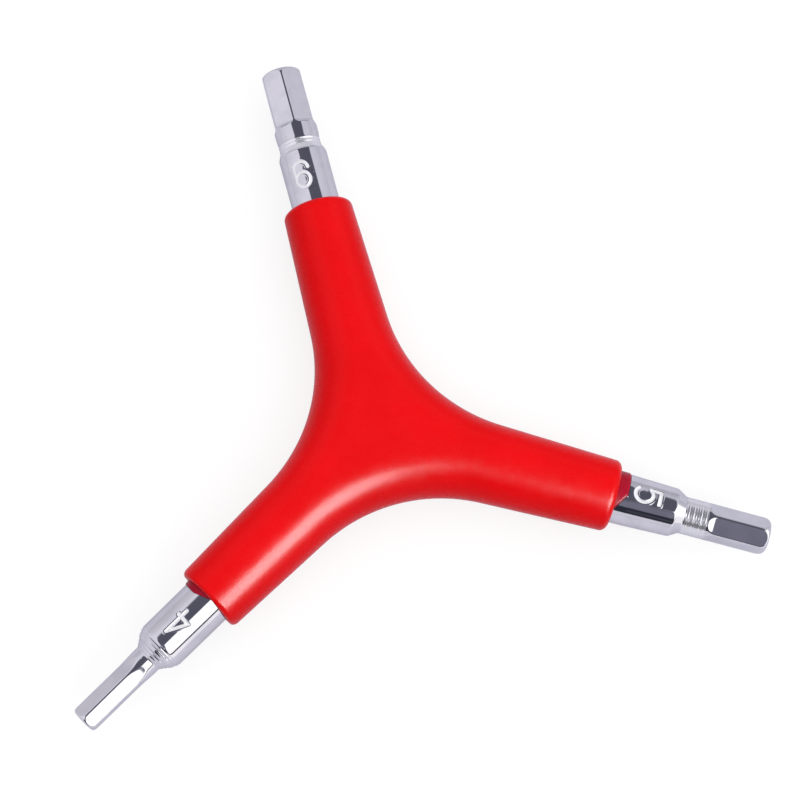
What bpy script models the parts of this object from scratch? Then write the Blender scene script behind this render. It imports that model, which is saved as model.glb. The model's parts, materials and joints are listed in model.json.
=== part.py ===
"""Three-arm hex wrench: a two-shot moulded Y handle that holds three steel hex bits.

Lengths are in metres. The wrench lies flat, its arms level and 120 degrees apart, and the origin is
the middle of the level face under the hub. Each arm has a frame of its own: reach runs out along the
arm from the hub's centre, side runs level and square to it, and rise runs up from the arm's axis.
An angle round an arm starts at the top and turns towards side.
"""
import math
from dataclasses import dataclass

import bmesh
import bpy
from mathutils import Vector

MM = 0.001

# Arm layout
FIRST_ARM_ANGLE = math.radians(90)
ARM_SPACING = math.radians(120)

# Handle
FIT_GAP = 0.3 * MM
SKIN_WALL = 1.12 * MM
CORE_WALL = 0.85 * MM
ARM_TAPER = math.radians(2)
WEB_RADIUS = 25.6 * MM
HUB_FLAT_REACH = 8.0 * MM
HUB_FLAT_BLEND = 2.0 * MM
END_ROUND_LENGTH = 1.6 * MM
LIP_SINK = 1.0 * MM

# Bits, what all three share
CORNER_BREAK = 0.1 * MM
TIP_CHAMFER_LENGTH = 0.8 * MM
TIP_CHAMFER_DEPTH = 0.65 * MM
SHANK_LENGTH = 24.0 * MM
SHANK_FLAT_LENGTH = 12.0 * MM
SHANK_FLAT_DEPTH = 0.4 * MM
SHANK_CHAMFER = 0.5 * MM
GROOVE_OFFSET = 5.0 * MM
GROOVE_WIDTH = 1.5 * MM
GROOVE_DEPTH = 0.4 * MM

# Arm and bit of size 6
ACROSS_FLATS_6 = 6.0 * MM
SKIN_REACH_6 = 37.1 * MM
COLLAR_LENGTH_6 = 8.6 * MM
COLLAR_REAR_DIAMETER_6 = 7.5 * MM
COLLAR_FRONT_DIAMETER_6 = 7.6 * MM
SHOULDER_LENGTH_6 = 1.3 * MM
NECK_LENGTH_6 = 3.3 * MM
RUN_OUT_LENGTH_6 = 0.7 * MM
FLATS_LENGTH_6 = 9.0 * MM
HEX_TURN_6 = math.radians(31)
LIP_LENGTH_6 = -LIP_SINK
LIP_MIDDLE_6 = -LIP_SINK
LIP_RAKE_6 = 0.0 * MM

# Arm and bit of size 5
ACROSS_FLATS_5 = 5.0 * MM
SKIN_REACH_5 = 36.5 * MM
COLLAR_LENGTH_5 = 9.05 * MM
COLLAR_REAR_DIAMETER_5 = 7.9 * MM
COLLAR_FRONT_DIAMETER_5 = 7.3 * MM
SHOULDER_LENGTH_5 = 1.4 * MM
NECK_LENGTH_5 = 3.75 * MM
RUN_OUT_LENGTH_5 = 1.25 * MM
FLATS_LENGTH_5 = 8.05 * MM
HEX_TURN_5 = math.radians(-19.4)
LIP_LENGTH_5 = 1.6 * MM
LIP_MIDDLE_5 = 1.6 * MM
LIP_RAKE_5 = 2.5 * MM

# Arm and bit of size 4
ACROSS_FLATS_4 = 4.0 * MM
SKIN_REACH_4 = 35.4 * MM
COLLAR_LENGTH_4 = 9.1 * MM
COLLAR_REAR_DIAMETER_4 = 7.75 * MM
COLLAR_FRONT_DIAMETER_4 = 7.65 * MM
SHOULDER_LENGTH_4 = 2.75 * MM
NECK_LENGTH_4 = 2.25 * MM
RUN_OUT_LENGTH_4 = 1.5 * MM
FLATS_LENGTH_4 = 9.0 * MM
HEX_TURN_4 = math.radians(29.7)
LIP_LENGTH_4 = 0.7 * MM
LIP_MIDDLE_4 = 0.0 * MM
LIP_RAKE_4 = -1.55 * MM

# Fineness of the meshes
QUARTER_COLUMN_SHARES = (0, 0.06, 0.24, 0.43, 0.62, 0.81)
WEB_STEPS = 7
ARM_STEPS = 3
END_ROUND_STEPS = 4
RUN_OUT_STEPS = 4
MERGE_SHARE = 0.0001
SMALLEST_CORNER_ANGLE = math.radians(3)
SMOOTH_ANGLE = math.radians(30)

RED_SKIN = (0.745, 0.006, 0.013, 1.0)
RED_CORE = (0.36, 0.004, 0.022, 1.0)
BRIGHT_STEEL = (0.78, 0.77, 0.8, 1.0)


@dataclass
class Arm:
    """One arm of the handle with its bit."""
    name: str
    place: int
    across_flats: float
    skin_reach: float
    collar_length: float
    collar_rear: float
    collar_front: float
    shoulder: float
    neck: float
    run_out: float
    flats: float
    hex_turn: float
    lip_length: float
    lip_middle: float
    lip_rake: float

    @property
    def outward(self):
        angle = FIRST_ARM_ANGLE - self.place * ARM_SPACING
        return Vector((math.cos(angle), math.sin(angle), 0))

    @property
    def sideways(self):
        return Vector((-self.outward.y, self.outward.x, 0))

    @property
    def neck_radius(self):
        """The neck is as thick as the hexagon over its broken corners."""
        return self.across_flats / math.sqrt(3) - CORNER_BREAK

    @property
    def tip_reach(self):
        shown = self.collar_length + self.shoulder + self.neck + self.run_out + self.flats
        return self.skin_reach + shown

    def lip_end(self, angle):
        """Reach of the core's end round the arm: square, with an oblique cut on one side."""
        oblique = self.lip_middle + self.lip_rake * math.sin(angle)
        return self.skin_reach + max(-LIP_SINK, min(self.lip_length, oblique))


ARMS = (
    Arm("6", 0, ACROSS_FLATS_6, SKIN_REACH_6, COLLAR_LENGTH_6, COLLAR_REAR_DIAMETER_6 / 2,
        COLLAR_FRONT_DIAMETER_6 / 2, SHOULDER_LENGTH_6, NECK_LENGTH_6, RUN_OUT_LENGTH_6,
        FLATS_LENGTH_6, HEX_TURN_6, LIP_LENGTH_6, LIP_MIDDLE_6, LIP_RAKE_6),
    Arm("5", 1, ACROSS_FLATS_5, SKIN_REACH_5, COLLAR_LENGTH_5, COLLAR_REAR_DIAMETER_5 / 2,
        COLLAR_FRONT_DIAMETER_5 / 2, SHOULDER_LENGTH_5, NECK_LENGTH_5, RUN_OUT_LENGTH_5,
        FLATS_LENGTH_5, HEX_TURN_5, LIP_LENGTH_5, LIP_MIDDLE_5, LIP_RAKE_5),
    Arm("4", 2, ACROSS_FLATS_4, SKIN_REACH_4, COLLAR_LENGTH_4, COLLAR_REAR_DIAMETER_4 / 2,
        COLLAR_FRONT_DIAMETER_4 / 2, SHOULDER_LENGTH_4, NECK_LENGTH_4, RUN_OUT_LENGTH_4,
        FLATS_LENGTH_4, HEX_TURN_4, LIP_LENGTH_4, LIP_MIDDLE_4, LIP_RAKE_4),
)

# The core is as thick at its ends as the widest collar, and the skin goes over it.
LONGEST_REACH = max(arm.skin_reach for arm in ARMS)
CORE_END_RADIUS = max(arm.collar_rear for arm in ARMS)
SKIN_END_RADIUS = CORE_END_RADIUS + FIT_GAP + SKIN_WALL
ROOT_RADIUS = SKIN_END_RADIUS + math.tan(ARM_TAPER) * LONGEST_REACH
SHANK_RADIUS = CORE_END_RADIUS - CORE_WALL - FIT_GAP


def arm_radius(reach):
    return ROOT_RADIUS - math.tan(ARM_TAPER) * reach


def ridge_height(reach):
    """Height of the skin over the arm's axis: level on the hub, then falling with the taper."""
    over = max(0, reach - HUB_FLAT_REACH)
    fall = over * over / (over + HUB_FLAT_BLEND)
    return ROOT_RADIUS - math.tan(ARM_TAPER) * (HUB_FLAT_REACH + HUB_FLAT_BLEND + fall)


AXIS_HEIGHT = ridge_height(0)


def clear_scene():
    for thing in list(bpy.data.objects):
        bpy.data.objects.remove(thing, do_unlink=True)


def make_material(name, color, roughness, metallic):
    material = bpy.data.materials.new(name)
    material.use_nodes = True
    shader = material.node_tree.nodes["Principled BSDF"]
    shader.inputs["Base Color"].default_value = color
    shader.inputs["Roughness"].default_value = roughness
    shader.inputs["Metallic"].default_value = metallic
    material.diffuse_color = color
    return material


def place_on_arm(arm, reach, side, rise):
    return arm.outward * reach + arm.sideways * side + Vector((0, 0, AXIS_HEIGHT + rise))


def add_rings(bm, rings, cap_first=False, cap_last=False):
    """Joins closed rings of points with a band of faces each, and may close the two ends."""
    loops = [[bm.verts.new(point) for point in ring] for ring in rings]
    for loop, following in zip(loops, loops[1:]):
        for i in range(len(loop)):
            j = (i + 1) % len(loop)
            bm.faces.new((loop[i], loop[j], following[j], following[i]))
    if cap_first:
        bm.faces.new(loops[0])
    if cap_last:
        bm.faces.new(loops[-1])


def finish_object(name, bm, material):
    bmesh.ops.remove_doubles(bm, verts=bm.verts, dist=MERGE_SHARE * SKIN_END_RADIUS)
    bmesh.ops.recalc_face_normals(bm, faces=bm.faces)
    mesh = bpy.data.meshes.new(name)
    bm.to_mesh(mesh)
    bm.free()
    mesh.materials.append(material)
    mesh.shade_smooth()
    mesh.set_sharp_from_angle(angle=SMOOTH_ANGLE)
    piece = bpy.data.objects.new(name, mesh)
    bpy.context.scene.collection.objects.link(piece)
    return piece


def quarter_angles():
    """Angles of the handle's columns in one quarter, from its ridge to just before its edge."""
    return [share * math.pi / 2 for share in QUARTER_COLUMN_SHARES]


def handle_angles():
    """Angles of the handle's columns all the way round, alike in all four quarters."""
    quarter = quarter_angles()
    half = quarter + [math.pi / 2] + [math.pi - angle for angle in reversed(quarter)]
    return half[:-1] + [math.pi + angle for angle in half[:-1]]


def section_ring(arm, ridge_reach, edge_reach, width, height):
    """Ring round an arm: level from its ridge, then a round side whose radius is the height.

    The edge at the given width may reach further out along the arm than the ridge.
    """
    across = math.hypot(edge_reach - ridge_reach, width)
    level = across - height
    flat_angle = quarter_angles()[1]
    quarter = [(0, height)]
    for angle in quarter_angles()[1:]:
        rise = height * math.cos(angle) / math.cos(flat_angle)
        quarter.append((level + height * math.sin(angle), rise))
    quarter.append((across, 0))
    right = quarter + [(side, -rise) for side, rise in quarter[-2::-1]]
    left = [(-side, rise) for side, rise in right[-2:0:-1]]
    ring = []
    for side, rise in right + left:
        share = side / across
        reach = ridge_reach + (edge_reach - ridge_reach) * abs(share)
        ring.append(place_on_arm(arm, reach, width * share, rise))
    return ring


def web_circle():
    """Centre and radius of the arc that joins one arm's side to its neighbour's, in an arm's frame."""
    half_spacing = ARM_SPACING / 2
    lean = math.cos(ARM_TAPER) * math.sin(half_spacing) + math.sin(ARM_TAPER) * math.cos(half_spacing)
    distance = (WEB_RADIUS + ROOT_RADIUS * math.cos(ARM_TAPER)) / lean
    return distance * math.cos(half_spacing), distance * math.sin(half_spacing)


def handle_rings(arm, inset, end_reach):
    """Rings from the hub out to end_reach, all at the depth inset under the skin's surface."""
    centre_reach, centre_side = web_circle()
    half_gap = math.pi / 2 - ARM_SPACING / 2
    rings = []
    for i in range(WEB_STEPS + 1):
        turn = half_gap + (ARM_TAPER - half_gap) * i / WEB_STEPS
        ridge = centre_reach - centre_side * math.tan(turn)
        edge = centre_reach - (WEB_RADIUS + inset) * math.sin(turn)
        width = centre_side - (WEB_RADIUS + inset) * math.cos(turn)
        rings.append(section_ring(arm, ridge, edge, width, ridge_height(ridge) - inset))
    for i in range(1, ARM_STEPS + 1):
        along = i / ARM_STEPS
        here_ridge = ridge + (end_reach - ridge) * along
        here_edge = edge + (end_reach - edge) * along
        here_width = width + (arm_radius(end_reach) - inset - width) * along
        rings.append(section_ring(arm, here_ridge, here_edge, here_width,
                                  ridge_height(here_ridge) - inset))
    return rings


def end_round_rings(arm):
    """The skin's full-round end, from the arm's surface in to the mouth's wall."""
    start = arm.skin_reach - END_ROUND_LENGTH
    width, height = arm_radius(start), ridge_height(start)
    mouth = arm_radius(arm.skin_reach) - SKIN_WALL
    rings = []
    for i in range(1, END_ROUND_STEPS + 1):
        turn = math.pi / 2 * i / END_ROUND_STEPS
        reach = start + END_ROUND_LENGTH * math.sin(turn)
        across = mouth + (width - mouth) * math.cos(turn)
        up = mouth + (height - mouth) * math.cos(turn)
        rings.append(section_ring(arm, reach, reach, across, up))
    return rings


def make_grip_skin(material):
    bm = bmesh.new()
    for arm in ARMS:
        start = arm.skin_reach - END_ROUND_LENGTH
        outside = handle_rings(arm, 0, start)
        inside = handle_rings(arm, SKIN_WALL, start)
        add_rings(bm, outside + end_round_rings(arm) + inside[::-1])
    bmesh.ops.remove_doubles(bm, verts=bm.verts, dist=MERGE_SHARE * SKIN_END_RADIUS)
    join_rest_flat(bm)
    return finish_object("grip_skin", bm, material)


def join_rest_flat(bm):
    """Makes one face of those that lie level under the hub, where the wrench rests."""
    tolerance = MERGE_SHARE * SKIN_END_RADIUS
    level = [face for face in bm.faces if all(abs(vert.co.z) < tolerance for vert in face.verts)]
    bmesh.ops.dissolve_faces(bm, faces=level)


def shank_profile(arm):
    """Reach, radius and depth of the two flats, from the groove in to the shank's end."""
    inner_end = arm.skin_reach - SHANK_LENGTH
    groove = arm.skin_reach - LIP_SINK - GROOVE_OFFSET
    flats = inner_end + SHANK_FLAT_LENGTH
    waist = SHANK_RADIUS - GROOVE_DEPTH
    return (
        (groove, SHANK_RADIUS, 0),
        (groove - GROOVE_DEPTH, waist, 0),
        (groove - GROOVE_DEPTH - GROOVE_WIDTH, waist, 0),
        (groove - 2 * GROOVE_DEPTH - GROOVE_WIDTH, SHANK_RADIUS, 0),
        (flats, SHANK_RADIUS, 0),
        (flats - SHANK_FLAT_DEPTH, SHANK_RADIUS, SHANK_FLAT_DEPTH),
        (inner_end + SHANK_CHAMFER, SHANK_RADIUS, SHANK_FLAT_DEPTH),
        (inner_end, SHANK_RADIUS - SHANK_CHAMFER, 0),
    )


def flat_limit(angle, half_flats, sides, turn):
    """Distance from the axis to the nearest of the flats, measured in the direction of angle."""
    sector = math.tau / sides
    phase = (angle - turn + sector / 2) % sector - sector / 2
    return half_flats / math.cos(phase)


def turned_ring(arm, angles, reach, radius, half_flats=None, sides=6, turn=0):
    """Ring of a turned piece, with its flats. reach is a length or a function of the angle."""
    ring = []
    for angle in angles:
        r = radius
        if half_flats is not None:
            r = min(r, flat_limit(angle, half_flats, sides, turn))
        at = reach(angle) if callable(reach) else reach
        ring.append(place_on_arm(arm, at, r * math.sin(angle), r * math.cos(angle)))
    return ring


def shank_rings(arm, angles, gap):
    """The shank's rings, or with a gap the rings of the bore that the core keeps round it."""
    rings = []
    for reach, radius, flat_depth in shank_profile(arm):
        rings.append(turned_ring(arm, angles, reach, radius + gap,
                                 half_flats=SHANK_RADIUS - flat_depth + gap, sides=2))
    return rings


def make_handle_core(material):
    bm = bmesh.new()
    for arm in ARMS:
        angles = handle_angles()
        inset = SKIN_WALL + FIT_GAP
        end_radius = arm_radius(arm.skin_reach) - inset
        outside = handle_rings(arm, inset, arm.skin_reach - END_ROUND_LENGTH)
        lip = turned_ring(arm, angles, arm.lip_end, end_radius)
        mouth = turned_ring(arm, angles, arm.lip_end, SHANK_RADIUS + FIT_GAP)
        bore = shank_rings(arm, angles, FIT_GAP)
        bottom_reach = arm.skin_reach - SHANK_LENGTH - FIT_GAP
        bottom = turned_ring(arm, angles, bottom_reach, SHANK_RADIUS - SHANK_CHAMFER + FIT_GAP)
        add_rings(bm, outside + [lip, mouth] + bore + [bottom], cap_last=True)
    return finish_object("handle_core", bm, material)


def bit_angles(arm):
    """Columns round a bit: on each flat's middle, its two edges and half way between them."""
    sector = math.tau / 6
    slack = min(1, arm.across_flats / 2 / arm.neck_radius)
    edge = min(max(math.acos(slack), SMALLEST_CORNER_ANGLE), sector / 2 - SMALLEST_CORNER_ANGLE)
    angles = []
    for i in range(6):
        for step in (0, edge / 2, edge, sector - edge, sector - edge / 2):
            angles.append(arm.hex_turn + i * sector + step)
    return angles


def hex_rings(arm, angles):
    """The milled hexagon from its chamfered tip in to the run-outs, and on to the round neck."""
    half = arm.across_flats / 2
    corner = arm.neck_radius
    tip_radius = corner - TIP_CHAMFER_DEPTH
    slope = TIP_CHAMFER_LENGTH / TIP_CHAMFER_DEPTH
    flats_in = arm.tip_reach - arm.flats
    stations = [(arm.tip_reach, tip_radius, half)]
    stations.append((arm.tip_reach - (half - tip_radius) * slope, half, half))
    stations.append((arm.tip_reach - TIP_CHAMFER_LENGTH, corner, half))
    depth = corner - half
    cutter_radius = (arm.run_out ** 2 + depth ** 2) / (2 * depth)
    for i in range(RUN_OUT_STEPS + 1):
        back = arm.run_out * i / RUN_OUT_STEPS
        rise = cutter_radius - math.sqrt(cutter_radius ** 2 - back ** 2)
        stations.append((flats_in - back, corner, half + rise))
    return [turned_ring(arm, angles, reach, radius, limit, 6, arm.hex_turn)
            for reach, radius, limit in stations]


def make_hex_bit(arm, material):
    bm = bmesh.new()
    angles = bit_angles(arm)
    shoulder_end = arm.tip_reach - arm.flats - arm.run_out - arm.neck
    collar_end = shoulder_end - arm.shoulder

    def rear(angle):
        return arm.lip_end(angle) + FIT_GAP

    rings = hex_rings(arm, angles)
    rings.append(turned_ring(arm, angles, shoulder_end, arm.neck_radius))
    rings.append(turned_ring(arm, angles, collar_end, arm.collar_front))
    rings.append(turned_ring(arm, angles, rear, arm.collar_rear))
    rings.append(turned_ring(arm, angles, rear, SHANK_RADIUS))
    rings += shank_rings(arm, angles, 0)
    add_rings(bm, rings, cap_first=True, cap_last=True)
    return finish_object("hex_bit_" + arm.name, bm, material)


def main():
    clear_scene()
    skin_red = make_material("skin_red", RED_SKIN, 0.42, 0.0)
    core_red = make_material("core_red", RED_CORE, 0.5, 0.0)
    steel = make_material("bright_steel", BRIGHT_STEEL, 0.12, 1.0)
    make_grip_skin(skin_red)
    make_handle_core(core_red)
    for arm in ARMS:
        make_hex_bit(arm, steel)


main()
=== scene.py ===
"""Looks of a three-arm hex wrench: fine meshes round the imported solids, materials, light and camera.

Lengths are in metres, in the frame's own axes. Each arm has a frame of its own: reach runs out along
the arm from the hub's centre, side runs level and square to it, and rise runs up from its axis. An
angle round an arm starts at the top and turns towards side.
"""

import json
import math

import bmesh
import bpy
import numpy as np
from mathutils import Euler, Matrix, Vector


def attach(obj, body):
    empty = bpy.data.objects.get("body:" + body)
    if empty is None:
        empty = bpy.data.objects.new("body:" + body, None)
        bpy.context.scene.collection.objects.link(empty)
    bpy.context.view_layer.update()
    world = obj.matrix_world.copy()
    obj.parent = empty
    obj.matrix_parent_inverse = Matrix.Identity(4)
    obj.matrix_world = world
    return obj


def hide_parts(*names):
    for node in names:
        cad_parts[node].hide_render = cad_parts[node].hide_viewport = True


MM = 0.001
WHITE = (1, 1, 1, 1)

# Handle: the sizes of the solids that these meshes stand for
SKIN_WALL = 1.12 * MM
ARM_TAPER = math.radians(2)
WEB_RADIUS = 25.6 * MM
HUB_FLAT_REACH = 8.0 * MM
HUB_FLAT_BLEND = 2.0 * MM
SKIN_END_RADIUS = 5.37 * MM
LONGEST_SKIN_REACH = 37.1 * MM
ROOT_RADIUS = SKIN_END_RADIUS + math.tan(ARM_TAPER) * LONGEST_SKIN_REACH
HALF_SPACING = math.radians(60)

# Handle: what only the fine meshes show
FLAT_EASE_SHARE = 0.2
FLAT_EASE_FADE_SHARE = 0.3
MOUTH_DEPTH = 1.5 * MM
SEAM_GAP = 0.03 * MM
LIP_RADIUS = 4.07 * MM
LIP_ROUND_LENGTH = 0.45 * MM
LIP_ROUND_DEPTH = 0.22 * MM
LIP_SINK = 1.0 * MM

# Bits, what all three share
CORNER_BREAK = 0.08 * MM
EDGE_SOFTNESS = 0.05 * MM
SHANK_RADIUS = 2.8 * MM
SHANK_LENGTH = 24.0 * MM
SHANK_CHAMFER = 0.5 * MM
COLLAR_REAR_ROUND = 0.1 * MM
PROFILE_SOFTNESS = 0.08 * MM
GROOVE_UNEVEN_SHARE = 0.6
GROOVE_BEAT = 2.4
PROFILE_SAMPLES = 9

# Numerals stamped into the collars
STROKE_HALF_WIDTH = 0.26 * MM
STROKE_DEPTH = 0.17 * MM
STROKE_BOTTOM_SHARE = 0.15
STROKE_EDGE_SHARE = 0.1
BURR_HEIGHT = 0.02 * MM
NUMERAL_HALF_HEIGHT = 2.6 * MM
NUMERAL_HALF_WIDTH = 1.8 * MM

# Fineness of the meshes
SKIN_QUARTER_COLUMNS = 24
SKIN_WEB_STEPS = 28
SKIN_ARM_STEPS = 18
RIM_STEPS = 12
FOLD_STEPS = 6
LIP_STEPS = 8
CORE_WEB_STEPS = 7
CORE_ARM_STEPS = 3
COLLAR_STEP = 0.3 * MM
NUMERAL_STEP = 0.06 * MM
COLLAR_COLUMNS = 72
NECK_STEP = 0.07 * MM
FLATS_STEP = 0.5 * MM
TIP_STEPS = 12
END_FACE_STEPS = 5
FLAT_COLUMNS = 16
CORNER_COLUMNS = 14
CORNER_HALF_ANGLE = math.radians(5)
STEP_SLACK = 0.001
MERGE_DISTANCE = 0.001 * MM
SMOOTH_ANGLE = math.radians(40)

# Plastic: colours, gloss, and its noises. A spread is the span of noise over which a change runs.
SKIN_DEEP = (0.74, 0.0004, 0.002, 1)
SKIN_BRIGHT = (0.78, 0.0006, 0.003, 1)
SKIN_ROUGHNESS = 0.27
# The core's red is darker than the skin's: partly its own darker plastic, partly painted shade for the
# mouths where it shows
CORE_DEEP = (0.33, 0.004, 0.02, 1)
CORE_BRIGHT = (0.38, 0.005, 0.024, 1)
CORE_ROUGHNESS = 0.25
ROUGHNESS_LESS = 0.02
ROUGHNESS_MORE = 0.03
PLASTIC_SPECULAR = 0.1
DRIFT_SCALE = 90.0
DRIFT_SPREAD = (0.35, 0.65)
FLOW_SCALE = 160.0
SATIN_SCALE = 500.0
SATIN_SPREAD = (0.3, 0.7)
GRAIN_SCALE = 2600.0
FLOW_SHARE = 3.0
PLASTIC_BUMP_SHARE = 0.4
PLASTIC_BUMP_HEIGHT = 0.03 * MM

# Chrome: colours, gloss and its noises
PLATE_CLEAN = (0.64, 0.635, 0.65, 1)
PLATE_DULL = (0.58, 0.58, 0.6, 1)
PLATE_EDGE_TINT = (0.8, 0.8, 0.82, 1)
# Specks, numerals and neck grooves: matt, and painted whiter and half diffuse as a painted glint
FROSTED_PAINTED_GLINT = (0.88, 0.88, 0.9, 1)
FROSTED_GLINT_METALLIC = 0.5
FROSTED_ROUGHNESS = 0.45
PLATE_ROUGHNESS = (0.04, 0.08)
DULL_SCALE = 350.0
DULL_SPREAD = (0.35, 0.7)
WAVE_SCALE = 500.0
POLISH_SCALE = 1500.0
POLISH_SPREAD = (0.35, 0.7)
SPECK_SCALE = 2300.0
SPECK_SPREAD = (0.78, 0.8)
PIT_SCALE = 3500.0
PIT_SHARE = 0.3
CHROME_BUMP_SHARE = 0.15
CHROME_BUMP_HEIGHT = 0.015 * MM

# Camera
CAMERA_PLACE = Vector((-16.72, -50.46, 255.79)) * MM
CAMERA_TURN = Euler([math.radians(a) for a in (12.330, -4.864, -15.453)], "ZXY")
CAMERA_LENS_MM = 76.33
SENSOR_WIDTH_MM = 36.0

# Floor: its matte shade, and its own glow for shade, for gloss and for the eye
FLOOR_SIZE = 4.0
FLOOR_DROP = 0.02 * MM
FLOOR_MATTE = (0.24, 0.24, 0.24, 1)
FLOOR_GLOW = 0.05
FLOOR_SEEN_GLOW = 0.77
FLOOR_MIRRORED_MATTE = (0.62, 0.61, 0.7, 1)
FLOOR_MIRRORED_GLOW = 0.15
FLOOR_MIRRORED_TINT = (1.0, 0.99, 1.14, 1)

# Lamps, whose radiance is how bright each would look, and the soft light from all round
WATTS_PER_RADIANCE = 4
KEY_DIRECTION = Vector((0.36, -0.67, 0.65))
KEY_DISTANCE = 0.35
KEY_PLACE = KEY_DIRECTION.normalized() * KEY_DISTANCE
KEY_SIZE = 0.25
KEY_RADIANCE = 1.4
SHEEN_SIZE = 0.2
SHEEN_RADIANCE = 46.0
OVERHEAD_PLACE = Vector((0.05, 0.1, 1.0))
OVERHEAD_SIZE = 4.0
OVERHEAD_RADIANCE = 0.73
SOFT_LIGHT = 0.22
SOFT_LIGHT_LEAN = (0.06, 0.1, 0)
BACKDROP_WHITE = 0.97

# What the gloss mirrors, by direction. Each pair says where a zone begins and where it is full.
TENT_LEFT = (0.90, 0.875, 0.98, 1)
TENT_RIGHT = (0.76, 0.745, 0.85, 1)
TENT_LEFTWARD = (0.5, -0.5)
TENT_RISE = 1.17
TENT_UPWARD = (0, 0.75)
TENT_BACK_SHARE = 0.8
TENT_BACKWARD = (0.5, 0.8)
FRONT_GLOW = (1.35, 1.30, 1.36, 1)
FRONT_GLOW_OUTWARD = (0.7, 0.9)

# The dark opening overhead, paler to the front
OVERHEAD_GAP = (0.13, 0.13, 0.175, 1)
OVERHEAD_GAP_FRONT = (0.24, 0.235, 0.31, 1)
OVERHEAD_GAP_FORWARD = (-0.15, -0.4)
OVERHEAD_GAP_LEFT = (-0.32, -0.25)
OVERHEAD_GAP_RIGHT = (0.58, 0.52)
OVERHEAD_GAP_FOOT = (0.42, 0.49)
OVERHEAD_GAP_SLOPE = 0.12

# The dark opening in front
FRONT_GAP = (0.035, 0.04, 0.06, 1)
FRONT_GAP_FORWARD = (-0.42, -0.49)
FRONT_GAP_FOOT = (0.28, 0.35)
FRONT_GAP_TOP = (0.76, 0.7)
FRONT_GAP_LEFT = (-0.95, -0.85)
FRONT_GAP_RIGHT = (0.16, 0.1)

# The white panel in the key lamp's direction, and the dark frame under it
PANEL_WHITE = (1.85, 1.85, 1.88, 1)
PANEL_ALONG = (0.5, -0.866, 0)
PANEL_ACROSS = (0.866, 0.5, 0)
PANEL_OUTWARD = (0.24, 0.3)
PANEL_FOOT = (0.37, 0.41)
PANEL_FOOT_SLOPE = 0.3
PANEL_LEFT = (-0.095, -0.065)
PANEL_LEFT_SLOPE = 0.55
PANEL_LEFT_HEIGHT = 0.9
PANEL_RIGHT = (0.85, 0.75)
PANEL_FRAME = (0.09, 0.09, 0.11, 1)
PANEL_FRAME_OUTWARD = (0.5, 0.6)
PANEL_FRAME_RIGHT = (0.2, 0.1)
PANEL_FRAME_FOOT = (0.27, 0.3)
PANEL_FRAME_TOP = (0.42, 0.39)


class Arm:
    """One arm of the handle with its bit, in the place that the record's mount gives it."""

    def __init__(self, mount, across_flats, skin_reach, rim, lip, collar, shoulder, neck, tip, hexagon,
                 numeral):
        place = Vector(mount["pos_m"])
        self.outward = Vector(mount["axis"])
        self.sideways = Vector((-self.outward.y, self.outward.x, 0))
        self.axis_height = place.z
        self.tip_reach = Vector(place.xy).length
        self.half_flats = across_flats / 2
        self.neck_radius = across_flats / math.sqrt(3) - CORNER_BREAK
        self.skin_reach = skin_reach
        self.rim_length, self.rim_fold, self.rim_sink, self.rim_dip = rim
        self.lip_length, self.lip_middle, self.lip_rake = lip
        self.collar_length, self.collar_rear, self.collar_front = collar
        self.shoulder_length, self.shoulder_shares = shoulder
        (self.grooves_start, self.grooves_count, self.groove_pitch, self.groove_depth,
         self.groove_frost) = neck
        self.tip_round_length, self.tip_round_depth = tip
        self.flats_length, self.run_out, self.hex_turn = hexagon
        self.numeral_strokes, self.numeral_reach, self.numeral_angle = numeral

    def lip_end(self, angles):
        """Reach of the core's end round the arm: square, with an oblique cut on one side."""
        oblique = self.lip_middle + self.lip_rake * np.sin(angles)
        return self.skin_reach + np.maximum(-LIP_SINK, np.minimum(self.lip_length, oblique))

    def groove_turns(self, reach):
        """How many pitches a reach lies past the start of the turning grooves."""
        shoulder_end = self.skin_reach + self.collar_length + self.shoulder_length
        return (reach - shoulder_end - self.grooves_start) / self.groove_pitch

    def points(self, reach, side, rise):
        """Places in the frame's axes of points given in the arm's frame, as arrays of equal length."""
        reach, side, rise = np.broadcast_arrays(reach, side, rise)
        out, across = np.array(self.outward), np.array(self.sideways)
        up = np.array((0, 0, 1.0))
        return (reach[..., None] * out + side[..., None] * across
                + (self.axis_height + rise)[..., None] * up)

    def turned(self, reach, radius, angles):
        """A ring of points round the arm's axis."""
        return self.points(reach, radius * np.sin(angles), radius * np.cos(angles))


def line(x0, y0, x1, y1):
    """A straight stroke of a numeral. Numerals stand with their top to the tip, y up and x right."""
    start, end = np.array((x0, y0)) * MM, np.array((x1, y1)) * MM

    def distance(x, y):
        along = end - start
        share = ((x - start[0]) * along[0] + (y - start[1]) * along[1]) / (along @ along)
        share = np.clip(share, 0, 1)
        return np.hypot(x - start[0] - share * along[0], y - start[1] - share * along[1])
    return distance


def arc(x, y, radius, first_degrees, last_degrees, width_share=1.0):
    """A round stroke of a numeral, anticlockwise from the first angle to the last."""
    middle = math.radians((first_degrees + last_degrees) / 2)
    half = math.radians((last_degrees - first_degrees) / 2)

    def distance(px, py):
        dx, dy = px - x * MM, py - y * MM
        angle = (np.arctan2(dy, dx / width_share) - middle + math.pi) % math.tau - math.pi
        angle = middle + np.clip(angle, -half, half)
        return np.hypot(dx - radius * MM * width_share * np.cos(angle), dy - radius * MM * np.sin(angle))
    return distance


STROKES_6 = (arc(0, 0.95, 1.12, 0, 180), line(-1.12, 0.95, -1.12, -0.85),
             arc(0, -0.85, 1.2, 0, 360, 0.92))
STROKES_5 = (line(-0.95, 1.8, 0.95, 1.8), line(-0.95, 1.8, -1.0, 0.25),
             arc(-0.05, -0.65, 1.35, -140, 135, 0.84))
STROKES_4 = (line(0.57, -2.05, 0.57, 2.05), line(-1.0, -0.9, 1.05, -0.9), line(-1.0, -0.9, 0.57, 2.05))

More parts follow.
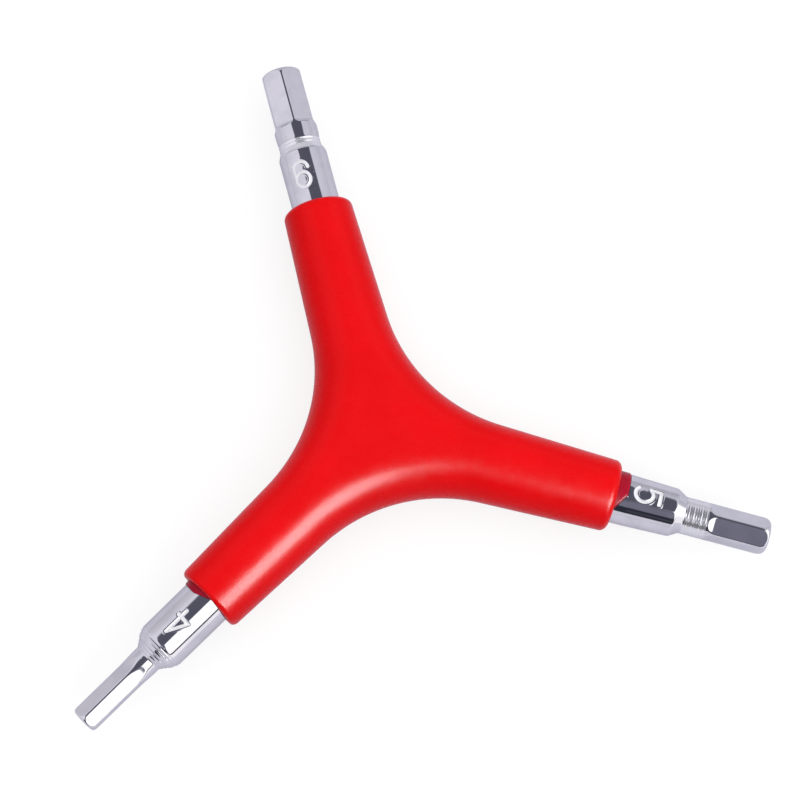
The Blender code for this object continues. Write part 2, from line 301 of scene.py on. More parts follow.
# Shoulders: shares of the shoulder's length, and of the drop from collar to neck at each
WAISTED_SHOULDER_SHARES = ((0, 0), (0.35, 0.4), (0.75, 0.95), (0.92, 1.3), (1.15, 1.12), (1.35, 1.36),
                           (1.6, 1.15), (1.8, 1.3), (2.5, 1.05), (3, 1))
CONE_SHOULDER_SHARES = ((0, 0), (1, 1))
DOMED_SHOULDER_SHARES = ((0, 0), (0.2, 0.05), (0.5, 0.32), (0.75, 0.66), (1, 1))


def make_arms(record):
    mounts = {mount["name"]: mount for mount in record["mounts"]}
    arm_6 = Arm(
        mounts["hex_end_6"], across_flats=6.0 * MM, skin_reach=37.1 * MM,
        rim=(1.15 * MM, 0.1 * MM, 0.05 * MM, 0), lip=(-LIP_SINK, -LIP_SINK, 0),
        collar=(8.6 * MM, 3.75 * MM, 3.8 * MM), shoulder=(1.3 * MM, WAISTED_SHOULDER_SHARES),
        neck=(-1.0 * MM, 4, 0.45 * MM, 0.012 * MM, 0.5), tip=(1.2 * MM, 0.8 * MM),
        hexagon=(9.0 * MM, 0.7 * MM, math.radians(31)),
        numeral=(STROKES_6, 41.65 * MM, math.radians(16.1)))
    arm_5 = Arm(
        mounts["hex_end_5"], across_flats=5.0 * MM, skin_reach=36.5 * MM,
        rim=(1.15 * MM, 0.1 * MM, 0.05 * MM, 0), lip=(1.6 * MM, 1.6 * MM, 2.5 * MM),
        collar=(9.05 * MM, 3.95 * MM, 3.65 * MM), shoulder=(1.4 * MM, CONE_SHOULDER_SHARES),
        neck=(0.15 * MM, 9, 0.38 * MM, 0.025 * MM, 0.35), tip=(1.2 * MM, 0.8 * MM),
        hexagon=(8.05 * MM, 1.25 * MM, math.radians(-19.4)),
        numeral=(STROKES_5, 41.1 * MM, math.radians(11)))
    arm_4 = Arm(
        mounts["hex_end_4"], across_flats=4.0 * MM, skin_reach=35.4 * MM,
        rim=(1.05 * MM, 0.6 * MM, 0.45 * MM, 0.4 * MM), lip=(0.7 * MM, 0.0 * MM, -1.55 * MM),
        collar=(9.1 * MM, 3.875 * MM, 3.825 * MM), shoulder=(2.75 * MM, DOMED_SHOULDER_SHARES),
        neck=(-2.6 * MM, 5, 0.45 * MM, 0.07 * MM, 0.05), tip=(0.9 * MM, 0.65 * MM),
        hexagon=(8.6 * MM, 3.0 * MM, math.radians(29.7)),
        numeral=(STROKES_4, 40.7 * MM, math.radians(1.1)))
    return {"6": arm_6, "5": arm_5, "4": arm_4}


def band_faces(first, second, count):
    """Quads between two rings of as many points, from the numbers of their first points."""
    i = np.arange(count)
    j = (i + 1) % count
    return np.stack([first + i, first + j, second + j, second + i], axis=1).tolist()


def zip_faces(first, first_angles, second, second_angles):
    """Triangles between two rings of unlike counts, whose angles both run upwards within one turn."""
    faces = []
    i = j = 0
    while i < len(first_angles) or j < len(second_angles):
        next_first = first_angles[i + 1] if i + 1 < len(first_angles) else first_angles[0] + math.tau
        next_second = second_angles[j + 1] if j + 1 < len(second_angles) else second_angles[0] + math.tau
        here = first + i % len(first_angles)
        there = second + j % len(second_angles)
        if j >= len(second_angles) or (i < len(first_angles) and next_first <= next_second):
            faces.append((here, first + (i + 1) % len(first_angles), there))
            i += 1
        else:
            faces.append((here, second + (j + 1) % len(second_angles), there))
            j += 1
    return faces


def lofted_mesh(name, lofts):
    """Closed mesh from lofts, each a list of rings and whether its first and last ring are capped."""
    points, faces = [], []
    for rings, cap_first, cap_last in lofts:
        start = len(points)
        first = start
        for ring, following in zip(rings, rings[1:]):
            faces += band_faces(start, start + len(ring), len(ring))
            points += ring.tolist()
            start += len(ring)
        points += rings[-1].tolist()
        if cap_first:
            faces.append(tuple(range(first, first + len(rings[0]))))
        if cap_last:
            faces.append(tuple(range(start, start + len(rings[-1]))))
    return mesh_from(name, points, faces)


def mesh_from(name, points, faces, stamps=None):
    """Closed smooth mesh. The stamps, if given, say how matt each point is and how much painted glint it
    gets: a numeral's is all matt and fully painted.
    """
    mesh = bpy.data.meshes.new(name)
    mesh.from_pydata(points, [], faces)
    if stamps is not None:
        mesh.attributes.new("stamp", "FLOAT", "POINT").data.foreach_set("value", stamps)
    bm = bmesh.new()
    bm.from_mesh(mesh)
    bmesh.ops.remove_doubles(bm, verts=bm.verts, dist=MERGE_DISTANCE)
    bmesh.ops.recalc_face_normals(bm, faces=bm.faces)
    bm.to_mesh(mesh)
    bm.free()
    mesh.shade_smooth()
    mesh.set_sharp_from_angle(angle=SMOOTH_ANGLE)
    return mesh


def add_piece(mesh, node, material):
    """The fine piece that stands for a node of the frame."""
    piece = bpy.data.objects.new(mesh.name, mesh)
    bpy.context.scene.collection.objects.link(piece)
    mesh.materials.append(material)
    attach(piece, "root")
    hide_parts(node)
    return piece


def arm_radius(reach):
    return ROOT_RADIUS - math.tan(ARM_TAPER) * reach


def ridge_height(reach):
    """Height of the skin over the arm's axis: level on the hub, then falling with the taper."""
    over = np.maximum(0, reach - HUB_FLAT_REACH)
    fall = over * over / (over + HUB_FLAT_BLEND)
    return ROOT_RADIUS - math.tan(ARM_TAPER) * (HUB_FLAT_REACH + HUB_FLAT_BLEND + fall)


def eased(share, ease):
    """A share that runs from 0 to 1 over the round side and eases in to 0 on the level stretch."""
    if ease == 0:
        return np.maximum(share, 0)
    soft = (share + np.sqrt(share * share + ease * ease)) / 2
    return soft / ((1 + math.sqrt(1 + ease * ease)) / 2)


def section_ring(arm, ridge_reach, edge_reach, width, inset, columns):
    """Ring round an arm: level from its ridge, then a round side whose radius is the height.

    The edge at the given width may reach further out along the arm than the ridge.
    """
    across = math.hypot(edge_reach - ridge_reach, width)
    height = min(ridge_height(ridge_reach) - inset, across)
    level = across - height
    length = level + height * math.pi / 2
    run = np.arange(columns) / columns * length
    side = np.where(run < level, run, level + height * np.sin((run - level) / height))
    side = np.append(side, across)
    ease = FLAT_EASE_SHARE * level / (level + FLAT_EASE_FADE_SHARE * height)
    share = eased((side - level) / height, ease)
    reach = ridge_reach + (edge_reach - ridge_reach) * side / across
    rise = np.minimum(ridge_height(reach) - inset, across) * np.sqrt(np.maximum(0, 1 - share * share))
    out = width * side / across
    reach_half = np.concatenate([reach, reach[-2::-1]])
    side_half = np.concatenate([out, out[-2::-1]])
    rise_half = np.concatenate([rise, -rise[-2::-1]])
    return arm.points(np.concatenate([reach_half, reach_half[-2:0:-1]]),
                      np.concatenate([side_half, -side_half[-2:0:-1]]),
                      np.concatenate([rise_half, rise_half[-2:0:-1]]))


def web_circle():
    """Centre of the arc that joins one arm's side to its neighbour's, in an arm's frame."""
    lean = (math.cos(ARM_TAPER) * math.sin(HALF_SPACING)
            + math.sin(ARM_TAPER) * math.cos(HALF_SPACING))
    distance = (WEB_RADIUS + ROOT_RADIUS * math.cos(ARM_TAPER)) / lean
    return distance * math.cos(HALF_SPACING), distance * math.sin(HALF_SPACING)


def handle_rings(arm, inset, end_reach, web_steps, arm_steps, columns):
    """Rings from the hub out to end_reach, all at the depth inset under the skin's surface."""
    centre_reach, centre_side = web_circle()
    first_turn = math.pi / 2 - HALF_SPACING
    rings = []
    for i in range(web_steps + 1):
        turn = first_turn + (ARM_TAPER - first_turn) * i / web_steps
        ridge = centre_reach - centre_side * math.tan(turn)
        edge = centre_reach - (WEB_RADIUS + inset) * math.sin(turn)
        width = centre_side - (WEB_RADIUS + inset) * math.cos(turn)
        rings.append(section_ring(arm, ridge, edge, width, inset, columns))
    for i in range(1, arm_steps + 1):
        share = i / arm_steps
        here_ridge = ridge + (end_reach - ridge) * share
        here_edge = edge + (end_reach - edge) * share
        here_width = width + (arm_radius(end_reach) - inset - width) * share
        rings.append(section_ring(arm, here_ridge, here_edge, here_width, inset, columns))
    return rings


def mouth_radius(arm):
    """The skin closes round the core's lip, or round the collar where no lip shows."""
    inner = arm.collar_rear if arm.lip_length < 0 else LIP_RADIUS
    return inner + SEAM_GAP


def rim_rings(arm, last_ring):
    """The skin's round end: out over the rim, in over its fold to the mouth, and the mouth's wall."""
    out, across = np.array(arm.outward), np.array(arm.sideways)
    side, rise = last_ring @ across, last_ring[:, 2] - arm.axis_height
    radius = np.hypot(side, rise)
    mouth = mouth_radius(arm)
    crest = mouth + arm.rim_fold
    start = arm.skin_reach - arm.rim_length
    dip = arm.rim_dip * np.maximum(0, rise / radius) ** 2
    profile = []
    for i in range(1, RIM_STEPS + 1):
        turn = math.pi / 2 * i / RIM_STEPS
        reach = start + (arm.rim_length - dip) * math.sin(turn)
        profile.append((reach, crest + (radius - crest) * math.cos(turn)))
    for i in range(1, FOLD_STEPS + 1):
        turn = math.pi / 2 * i / FOLD_STEPS
        reach = arm.skin_reach - dip - arm.rim_sink * (1 - math.cos(turn))
        profile.append((reach, crest - arm.rim_fold * math.sin(turn)))
    profile.append((arm.skin_reach - MOUTH_DEPTH, mouth))
    return [arm.points(reach, side / radius * here, rise / radius * here) for reach, here in profile]


def make_grip_skin(arms, material):
    lofts = []
    for arm in arms.values():
        start = arm.skin_reach - arm.rim_length
        outside = handle_rings(arm, 0, start, SKIN_WEB_STEPS, SKIN_ARM_STEPS, SKIN_QUARTER_COLUMNS)
        inner_end = arm.skin_reach - MOUTH_DEPTH - SKIN_WALL
        inside = handle_rings(arm, SKIN_WALL, inner_end, CORE_WEB_STEPS, CORE_ARM_STEPS,
                              SKIN_QUARTER_COLUMNS)
        lofts.append((outside + rim_rings(arm, outside[-1]) + inside[::-1], False, False))
    mesh = lofted_mesh("grip_skin_moulding", lofts)
    return add_piece(mesh, "grip_skin", material)


def make_handle_core(arms, material):
    lofts = []
    columns = SKIN_QUARTER_COLUMNS
    angles = np.arange(4 * columns) / (4 * columns) * math.tau
    inset = SKIN_WALL + SEAM_GAP
    for arm in arms.values():
        outside = handle_rings(arm, inset, arm.skin_reach - MOUTH_DEPTH - 2 * SKIN_WALL,
                               CORE_WEB_STEPS, CORE_ARM_STEPS, columns)
        radius = min(LIP_RADIUS, mouth_radius(arm) - SEAM_GAP)
        rings = [arm.turned(arm.skin_reach - MOUTH_DEPTH - SKIN_WALL, radius, angles)]
        end = arm.lip_end(angles)
        for i in range(LIP_STEPS + 1):
            turn = math.pi / 2 * i / LIP_STEPS
            reach = end - LIP_ROUND_LENGTH * (1 - math.sin(turn))
            rings.append(arm.turned(reach, radius - LIP_ROUND_DEPTH * (1 - math.cos(turn)), angles))
        bore = SHANK_RADIUS + SEAM_GAP
        bottom = arm.skin_reach - SHANK_LENGTH - SEAM_GAP
        rings.append(arm.turned(end, bore, angles))
        rings.append(arm.turned(bottom, bore, angles))
        lofts.append((outside + rings, False, True))
    mesh = lofted_mesh("handle_core_moulding", lofts)
    return add_piece(mesh, "handle_core", material)


def soft_min(a, b, softness):
    """The lesser of two lengths, rounded where they cross."""
    blend = np.clip(0.5 + 0.5 * (b - a) / softness, 0, 1)
    return b + (a - b) * blend - softness * blend * (1 - blend)


def soft_line(reach, stations):
    """Radius along a turned profile given by straight runs, with its corners rounded."""
    reaches, radii = zip(*stations)
    offsets = np.linspace(-1, 1, PROFILE_SAMPLES) * PROFILE_SOFTNESS
    return np.mean([np.interp(reach + offset, reaches, radii) for offset in offsets], axis=0)


def turned_radius(arm, reach):
    """Radius of the turned bit before its flats are milled: collar, shoulder, grooves and neck."""
    rear = arm.skin_reach
    collar_end = rear + arm.collar_length
    stations = [(rear - MOUTH_DEPTH, arm.collar_rear), (rear, arm.collar_rear)]
    for along, drop in arm.shoulder_shares:
        radius = arm.collar_front + (arm.neck_radius - arm.collar_front) * drop
        stations.append((collar_end + along * arm.shoulder_length, radius))
    stations.append((arm.tip_reach, arm.neck_radius))
    radius = soft_line(reach, stations)
    turns = arm.groove_turns(reach)
    inside = (turns > 0) & (turns < arm.grooves_count)
    uneven = 1 + GROOVE_UNEVEN_SHARE * np.sin(GROOVE_BEAT * np.floor(turns))
    depth = arm.groove_depth * uneven * (0.5 - 0.5 * np.cos(math.tau * turns))
    return radius - np.where(inside, depth, 0)


def hex_limit(arm, reach, angles):
    """Distance from the axis to the milled flats, which run out in the cutter's round."""
    sector = math.tau / 6
    phase = (angles - arm.hex_turn + sector / 2) % sector - sector / 2
    depth = arm.neck_radius - arm.half_flats
    cutter = (arm.run_out ** 2 + depth ** 2) / (2 * depth)
    back = max(0.0, arm.tip_reach - arm.flats_length - reach)
    rise = cutter - math.sqrt(cutter ** 2 - min(back, arm.run_out) ** 2) + max(0.0, back - arm.run_out)
    return (arm.half_flats + rise) / np.cos(phase)


def hex_columns(arm):
    """Angles of the columns round the hexagon, closer together at its six corners."""
    sector = math.tau / 6
    corner = np.linspace(-CORNER_HALF_ANGLE, CORNER_HALF_ANGLE, CORNER_COLUMNS + 1)
    flat = np.linspace(CORNER_HALF_ANGLE, sector - CORNER_HALF_ANGLE, FLAT_COLUMNS + 1)[1:-1]
    angles = [arm.hex_turn + sector * (i + 0.5) + np.concatenate([corner, flat]) for i in range(6)]
    return np.sort(np.concatenate(angles) % math.tau)


def collar_columns(arm):
    """Angles of the columns round the collar, closer together at the numeral."""
    half = NUMERAL_HALF_WIDTH / arm.collar_front
    count = math.ceil(2 * NUMERAL_HALF_WIDTH / NUMERAL_STEP)
    fine = np.linspace(-half, half, count + 1)
    coarse = np.linspace(half, math.tau - half, COLLAR_COLUMNS + 1)[1:-1]
    return np.sort((arm.numeral_angle + np.concatenate([fine, coarse])) % math.tau)


def stepped(start, end, step):
    return np.linspace(start, end, max(1, math.ceil(abs(end - start) / step - STEP_SLACK)) + 1)


def stroke_share(arm, reach, angles):
    """Distance from the numeral's nearest stroke, as a share of the stroke's half width."""
    turn = (angles - arm.numeral_angle + math.pi) % math.tau - math.pi
    x, y = -turn * arm.collar_front, reach - arm.numeral_reach
    return np.min([stroke(x, y) for stroke in arm.numeral_strokes], axis=0) / STROKE_HALF_WIDTH


def stamp_depth(share):
    """How far a stamped stroke presses the collar in, with a low burr along it."""
    groove = 1 - np.sqrt(share ** 2 + STROKE_BOTTOM_SHARE ** 2)
    burr = np.where((share > 1) & (share < 2), np.sin(math.pi * (share - 1)) ** 2, 0)
    return STROKE_DEPTH * np.maximum(groove, 0) - BURR_HEIGHT * burr


def bit_front_rings(arm, angles):
    """Rings from the domed tip over hexagon and neck to just before the collar, with each one's stamps."""
    rings = []
    tip_radius = arm.neck_radius - arm.tip_round_depth
    for i in range(1, END_FACE_STEPS):
        rings.append((arm.tip_reach, tip_radius * i / END_FACE_STEPS))
    for i in range(TIP_STEPS + 1):
        turn = math.pi / 2 * i / TIP_STEPS
        reach = arm.tip_reach - arm.tip_round_length * (1 - math.cos(turn))
        rings.append((reach, tip_radius + arm.tip_round_depth * math.sin(turn)))
    flats_in = arm.tip_reach - arm.flats_length
    collar_end = arm.skin_reach + arm.collar_length
    stations = np.concatenate([
        stepped(arm.tip_reach - arm.tip_round_length, flats_in + NECK_STEP, FLATS_STEP)[1:],
        stepped(flats_in, collar_end, NECK_STEP)[:-1]])
    rings += [(reach, float(turned_radius(arm, reach))) for reach in stations]
    # The neck's turning grooves get a share of the matt finish and of its painted glint
    stamps = [np.full(len(angles), arm.groove_frost * (0 < arm.groove_turns(reach) < arm.grooves_count))
              for reach, radius in rings]
    return [arm.turned(reach, soft_min(radius, hex_limit(arm, reach, angles), EDGE_SOFTNESS), angles)
            for reach, radius in rings], stamps


def bit_collar_rings(arm, angles):
    """Rings over the stamped collar to its rear end at the handle, with each ring's stamps."""
    top = arm.numeral_reach + NUMERAL_HALF_HEIGHT
    foot = arm.numeral_reach - NUMERAL_HALF_HEIGHT
    stations = np.concatenate([stepped(arm.skin_reach + arm.collar_length, top, COLLAR_STEP)[:-1],
                               stepped(top, foot, NUMERAL_STEP)])
    rings, stamps = [], []
    for reach in stations:
        share = stroke_share(arm, reach, angles)
        rings.append(arm.turned(reach, turned_radius(arm, reach) - stamp_depth(share), angles))
        stamps.append(np.clip((1 - share) / STROKE_EDGE_SHARE, 0, 1))
    rear = arm.lip_end(angles) + SEAM_GAP
    for share in stepped(0, 1, COLLAR_STEP / (foot - arm.skin_reach))[1:]:
        rings.append(arm.turned(foot + (rear - foot) * share, turned_radius(arm, foot), angles))
        stamps.append(np.zeros(len(angles)))
    return rings, stamps


def shank_rings(arm, angles):
    """The rear face of the collar and the shank that the core holds."""
    rear = arm.lip_end(angles) + SEAM_GAP
    inner_end = arm.skin_reach - SHANK_LENGTH
    return [arm.turned(rear, arm.collar_rear - COLLAR_REAR_ROUND, angles),
            arm.turned(rear, SHANK_RADIUS, angles),
            arm.turned(inner_end + SHANK_CHAMFER, SHANK_RADIUS, angles),
            arm.turned(inner_end, SHANK_RADIUS - SHANK_CHAMFER, angles)]


def make_hex_bit(size, arm, material):
    front_angles, rear_angles = hex_columns(arm), collar_columns(arm)
    front, front_stamps = bit_front_rings(arm, front_angles)
    collar, stamps = bit_collar_rings(arm, rear_angles)
    rear = collar + shank_rings(arm, rear_angles)
    points = np.concatenate(front + rear)
    rear_start = len(front) * len(front_angles)
    faces = [tuple(range(len(front_angles)))]
    for i in range(len(front) - 1):
        faces += band_faces(i * len(front_angles), (i + 1) * len(front_angles), len(front_angles))
    faces += zip_faces(rear_start - len(front_angles), front_angles, rear_start, rear_angles)
    for i in range(len(rear) - 1):
        first = rear_start + i * len(rear_angles)
        faces += band_faces(first, first + len(rear_angles), len(rear_angles))
    faces.append(tuple(range(len(points) - len(rear_angles), len(points))))
    shares = np.zeros(len(points))
    stamped = np.concatenate(front_stamps + stamps)
    shares[:len(stamped)] = stamped
    mesh = mesh_from("hex_bit_" + size + "_turned", points.tolist(), faces, shares)
    return add_piece(mesh, "hex_bit_" + size, material)


def add_node(tree, kind, inputs=None, **settings):
    """A shader node with its settings, and its inputs as values or as other nodes' outputs."""
    node = tree.nodes.new(kind)
    for name, value in settings.items():
        setattr(node, name, value)
    for name, value in (inputs or {}).items():
        if isinstance(value, bpy.types.NodeSocket):
            tree.links.new(value, node.inputs[name])
        else:
            node.inputs[name].default_value = value
    return node


def ramp(tree, value, start, end, low=0.0, high=1.0):
    """A smooth step of value from low at start to high at end."""
    return add_node(tree, "ShaderNodeMapRange", {
        "Value": value, "From Min": start, "From Max": end, "To Min": low, "To Max": high,
    }, interpolation_type="SMOOTHSTEP").outputs["Result"]


def math_node(tree, operation, first, second):
    return add_node(tree, "ShaderNodeMath", {0: first, 1: second}, operation=operation).outputs[0]


def mix_color(tree, share, first, second):
    node = add_node(tree, "ShaderNodeMix", data_type="RGBA")
    for socket, value in zip((node.inputs[0], node.inputs[6], node.inputs[7]), (share, first, second)):
        if isinstance(value, bpy.types.NodeSocket):
            tree.links.new(value, socket)
        else:
            socket.default_value = value
    return node.outputs[2]


def noise(tree, place, scale, detail, roughness=0.5):
    return add_node(tree, "ShaderNodeTexNoise", {
        "Vector": place, "Scale": scale, "Detail": detail, "Roughness": roughness,
    }).outputs["Fac"]


def new_material(name):
    material = bpy.data.materials.new(name)
    material.use_nodes = True
    tree = material.node_tree
    place = add_node(tree, "ShaderNodeTexCoord").outputs["Object"]
    return material, tree, tree.nodes["Principled BSDF"], place


def mix_value(tree, share, first, second):
    return add_node(tree, "ShaderNodeMix", {0: share, 2: first, 3: second}).outputs[0]


def add_bump(tree, shader, height, share, distance):
    bump = add_node(tree, "ShaderNodeBump", {"Height": height, "Strength": share, "Distance": distance})
    tree.links.new(bump.outputs["Normal"], shader.inputs["Normal"])


def moulded_plastic(name, deep, bright, roughness):
    """Satin moulded plastic: colour that drifts a little, a fine grain and faint flow marks."""
    material, tree, shader, place = new_material(name)
    drift = ramp(tree, noise(tree, place, DRIFT_SCALE, 2.0), *DRIFT_SPREAD)
    tree.links.new(mix_color(tree, drift, deep, bright), shader.inputs["Base Color"])
    shader.inputs["Specular IOR Level"].default_value = PLASTIC_SPECULAR
    satin = ramp(tree, noise(tree, place, SATIN_SCALE, 3.0), *SATIN_SPREAD,
                 roughness - ROUGHNESS_LESS, roughness + ROUGHNESS_MORE)
    tree.links.new(satin, shader.inputs["Roughness"])
    grain = noise(tree, place, GRAIN_SCALE, 3.0)
    flow = noise(tree, place, FLOW_SCALE, 2.0)
    height = math_node(tree, "ADD", grain, math_node(tree, "MULTIPLY", flow, FLOW_SHARE))
    add_bump(tree, shader, height, PLASTIC_BUMP_SHARE, PLASTIC_BUMP_HEIGHT)
    return material


def chromed_steel(name):
    """Bright chrome over turned steel: slight waves and grainy pits. Specks, numerals and neck grooves are
    matt, and a whiter, half-diffuse colour paints a glint on them.
    """
    material, tree, shader, place = new_material(name)
    shader.inputs["Specular Tint"].default_value = PLATE_EDGE_TINT
    stamp = add_node(tree, "ShaderNodeAttribute", attribute_name="stamp").outputs["Fac"]
    speck = ramp(tree, noise(tree, place, SPECK_SCALE, 1.0), *SPECK_SPREAD)
    # Numerals, grooves and specks are matt, and their whiter, half-diffuse colour paints a glint on them
    matt_and_painted_glint = math_node(tree, "MAXIMUM", stamp, speck)
    tree.links.new(mix_value(tree, matt_and_painted_glint, 1.0, FROSTED_GLINT_METALLIC), shader.inputs["Metallic"])
    dull = ramp(tree, noise(tree, place, DULL_SCALE, 4.0), *DULL_SPREAD)
    plate = mix_color(tree, dull, PLATE_CLEAN, PLATE_DULL)
    tree.links.new(mix_color(tree, matt_and_painted_glint, plate, FROSTED_PAINTED_GLINT), shader.inputs["Base Color"])
    polish = ramp(tree, noise(tree, place, POLISH_SCALE, 3.0), *POLISH_SPREAD, *PLATE_ROUGHNESS)
    tree.links.new(mix_value(tree, matt_and_painted_glint, polish, FROSTED_ROUGHNESS), shader.inputs["Roughness"])
    wave = noise(tree, place, WAVE_SCALE, 2.0)
    pits = noise(tree, place, PIT_SCALE, 2.0)
    height = math_node(tree, "ADD", wave, math_node(tree, "MULTIPLY", pits, PIT_SHARE))
    add_bump(tree, shader, height, CHROME_BUMP_SHARE, CHROME_BUMP_HEIGHT)
    return material


def make_floor():
    """A plain white floor that keeps a faint shadow, reads white to the eye, and is clear from below."""
    half = FLOOR_SIZE / 2
    mesh = bpy.data.meshes.new("floor")
    corners = [(-half, -half, 0), (half, -half, 0), (half, half, 0), (-half, half, 0)]
    mesh.from_pydata(corners, [], [(0, 1, 2, 3)])
    floor = bpy.data.objects.new("floor", mesh)
    floor.location.z = -FLOOR_DROP
    bpy.context.scene.collection.objects.link(floor)
    material = bpy.data.materials.new("floor_white")
    material.use_nodes = True
    tree = material.node_tree
    tree.nodes.clear()
    path = add_node(tree, "ShaderNodeLightPath").outputs
    mirrored = math_node(tree, "MAXIMUM", path["Is Glossy Ray"], path["Is Transmission Ray"])
    strength = mix_value(tree, mirrored, FLOOR_GLOW, FLOOR_MIRRORED_GLOW)
    strength = mix_value(tree, path["Is Camera Ray"], strength, FLOOR_SEEN_GLOW)
    tint = mix_color(tree, mirrored, WHITE, FLOOR_MIRRORED_TINT)
    glow = add_node(tree, "ShaderNodeEmission", {"Color": tint, "Strength": strength})
    shade = mix_color(tree, mirrored, FLOOR_MATTE, FLOOR_MIRRORED_MATTE)
    matte = add_node(tree, "ShaderNodeBsdfDiffuse", {"Color": shade})
    both = add_node(tree, "ShaderNodeAddShader", {0: glow.outputs[0], 1: matte.outputs[0]})
    below = add_node(tree, "ShaderNodeNewGeometry").outputs["Backfacing"]
    clear = add_node(tree, "ShaderNodeBsdfTransparent")
    sided = add_node(tree, "ShaderNodeMixShader", {0: below, 1: both.outputs[0], 2: clear.outputs[0]})
    add_node(tree, "ShaderNodeOutputMaterial", {"Surface": sided.outputs[0]})
    mesh.materials.append(material)


def make_studio():
    """The studio round the wrench: what gloss mirrors of it, its soft light, and a plain backdrop."""
    world = bpy.data.worlds.new("studio")
    bpy.context.scene.world = world
    world.use_nodes = True
    tree = world.node_tree
    tree.nodes.clear()
    toward = add_node(tree, "ShaderNodeTexCoord").outputs["Generated"]
    axes = add_node(tree, "ShaderNodeSeparateXYZ", {"Vector": toward}).outputs
    x, y, z = axes["X"], axes["Y"], axes["Z"]

    def along(direction):
        dot = add_node(tree, "ShaderNodeVectorMath", {0: toward, 1: direction}, operation="DOT_PRODUCT")
        return dot.outputs["Value"]

    def background(color, strength):
        return add_node(tree, "ShaderNodeBackground", {"Color": color, "Strength": strength}).outputs[0]

    def within(*shares):
        product = shares[0]
        for share in shares[1:]:
            product = math_node(tree, "MULTIPLY", product, share)
        return product

    def zone(value, edge):
        return ramp(tree, value, *edge)

    out, across = along(PANEL_ALONG), along(PANEL_ACROSS)
    color = mix_color(tree, zone(x, TENT_LEFTWARD), TENT_RIGHT, TENT_LEFT)
    level = within(ramp(tree, z, *TENT_UPWARD, 1.0, TENT_RISE),
                   ramp(tree, y, *TENT_BACKWARD, 1.0, TENT_BACK_SHARE))
    color = add_node(tree, "ShaderNodeVectorMath", {0: color, "Scale": level}, operation="SCALE").outputs[0]
    color = mix_color(tree, zone(out, FRONT_GLOW_OUTWARD), color, FRONT_GLOW)

    gap_height = math_node(tree, "SUBTRACT", z, math_node(tree, "MULTIPLY", y, OVERHEAD_GAP_SLOPE))
    overhead = within(zone(x, OVERHEAD_GAP_LEFT), zone(x, OVERHEAD_GAP_RIGHT),
                      zone(gap_height, OVERHEAD_GAP_FOOT))
    gap = mix_color(tree, zone(y, OVERHEAD_GAP_FORWARD), OVERHEAD_GAP, OVERHEAD_GAP_FRONT)
    color = mix_color(tree, overhead, color, gap)
    front = within(zone(y, FRONT_GAP_FORWARD), zone(z, FRONT_GAP_FOOT), zone(z, FRONT_GAP_TOP),
                   zone(x, FRONT_GAP_LEFT), zone(x, FRONT_GAP_RIGHT))
    color = mix_color(tree, front, color, FRONT_GAP)

    foot = math_node(tree, "ADD", z, math_node(tree, "MULTIPLY", across, PANEL_FOOT_SLOPE))
    below = math_node(tree, "SUBTRACT", PANEL_LEFT_HEIGHT, z)
    left = math_node(tree, "ADD", across, math_node(tree, "MULTIPLY", below, PANEL_LEFT_SLOPE))
    panel = within(zone(out, PANEL_OUTWARD), zone(foot, PANEL_FOOT), zone(left, PANEL_LEFT),
                   zone(across, PANEL_RIGHT))
    color = mix_color(tree, panel, color, PANEL_WHITE)
    frame_line = within(zone(out, PANEL_FRAME_OUTWARD), zone(across, PANEL_FRAME_RIGHT),
                        zone(foot, PANEL_FRAME_FOOT), zone(foot, PANEL_FRAME_TOP))
    color = mix_color(tree, frame_line, color, PANEL_FRAME)

    mirrored = background(color, 1.0)
    soft = background(WHITE, math_node(tree, "ADD", along(SOFT_LIGHT_LEAN), SOFT_LIGHT))
    plain = background(WHITE, BACKDROP_WHITE)
    path = add_node(tree, "ShaderNodeLightPath").outputs
    gloss = math_node(tree, "MAXIMUM", path["Is Glossy Ray"], path["Is Transmission Ray"])
    lit = add_node(tree, "ShaderNodeMixShader", {0: gloss, 1: soft, 2: mirrored}).outputs[0]
    seen = add_node(tree, "ShaderNodeMixShader", {0: path["Is Camera Ray"], 1: lit, 2: plain})
    add_node(tree, "ShaderNodeOutputWorld", {"Surface": seen.outputs[0]})


def make_lamp(name, place, size, radiance):
    """A soft square lamp that faces the frame's origin and that the camera doesn't see."""
    light = bpy.data.lights.new(name, "AREA")
    light.shape = "SQUARE"
    light.size = size
    light.energy = radiance * WATTS_PER_RADIANCE * size ** 2
    lamp = bpy.data.objects.new(name, light)
    lamp.location = place
    lamp.rotation_euler = place.to_track_quat("Z", "Y").to_euler()
    lamp.visible_camera = False
    bpy.context.scene.collection.objects.link(lamp)
    return lamp


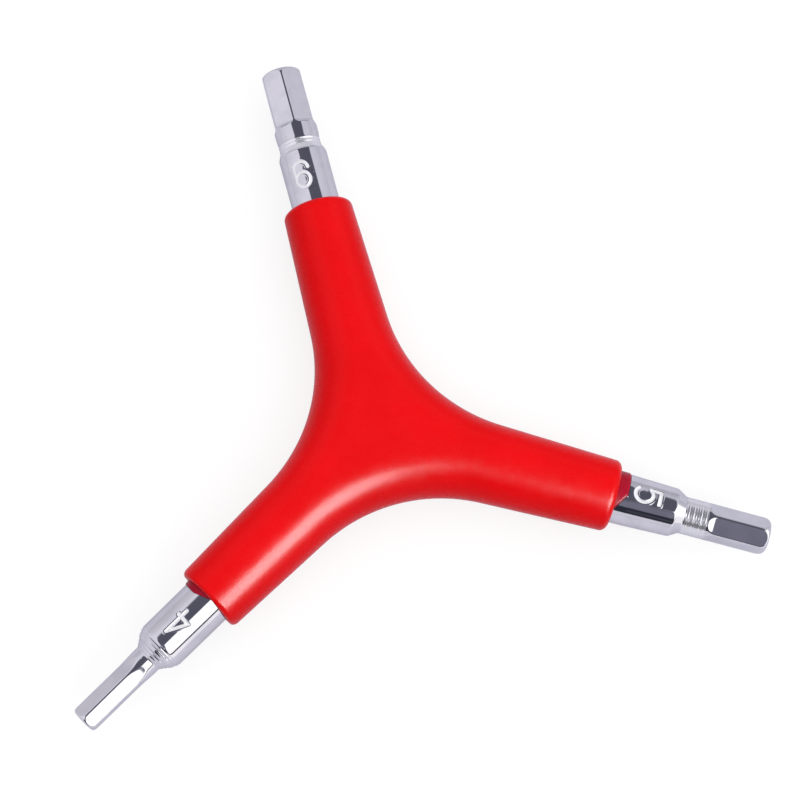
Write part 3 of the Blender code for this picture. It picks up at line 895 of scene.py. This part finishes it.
def make_lamps(plastic_pieces):
    """Two lamps for shade and shadow, and one for the sheen on the plastic. The chrome mirrors none."""
    make_lamp("overhead_softbox", OVERHEAD_PLACE, OVERHEAD_SIZE, OVERHEAD_RADIANCE).visible_glossy = False
    make_lamp("key_softbox", KEY_PLACE, KEY_SIZE, KEY_RADIANCE).visible_glossy = False
    sheen = make_lamp("sheen_softbox", KEY_PLACE, SHEEN_SIZE, SHEEN_RADIANCE)
    sheen.visible_diffuse = False
    lit = bpy.data.collections.new("plastic_pieces")
    for piece in plastic_pieces:
        lit.objects.link(piece)
    sheen.light_linking.receiver_collection = lit


def make_camera():
    lens = bpy.data.cameras.new("camera")
    lens.lens = CAMERA_LENS_MM
    lens.sensor_width = SENSOR_WIDTH_MM
    camera = bpy.data.objects.new("camera", lens)
    camera.matrix_world = Matrix.Translation(CAMERA_PLACE) @ CAMERA_TURN.to_matrix().to_4x4()
    bpy.context.scene.collection.objects.link(camera)
    bpy.context.scene.camera = camera


with open("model.json") as file:
    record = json.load(file)
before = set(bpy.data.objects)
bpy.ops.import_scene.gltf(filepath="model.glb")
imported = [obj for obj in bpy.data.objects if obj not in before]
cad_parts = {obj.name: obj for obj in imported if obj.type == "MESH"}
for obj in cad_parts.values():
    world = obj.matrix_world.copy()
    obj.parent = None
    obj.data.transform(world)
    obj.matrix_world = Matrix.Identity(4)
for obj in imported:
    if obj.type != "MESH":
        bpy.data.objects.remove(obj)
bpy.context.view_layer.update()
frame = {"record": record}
bpy.context.scene.view_settings.view_transform = "Standard"
arms = make_arms(frame["record"])
skin_red = moulded_plastic("skin_red", SKIN_DEEP, SKIN_BRIGHT, SKIN_ROUGHNESS)
core_red = moulded_plastic("core_red", CORE_DEEP, CORE_BRIGHT, CORE_ROUGHNESS)
bright_steel = chromed_steel("bright_steel")
skin = make_grip_skin(arms, skin_red)
core = make_handle_core(arms, core_red)
for size, arm in arms.items():
    make_hex_bit(size, arm, bright_steel)
make_floor()
make_studio()
make_lamps([skin, core])
make_camera()
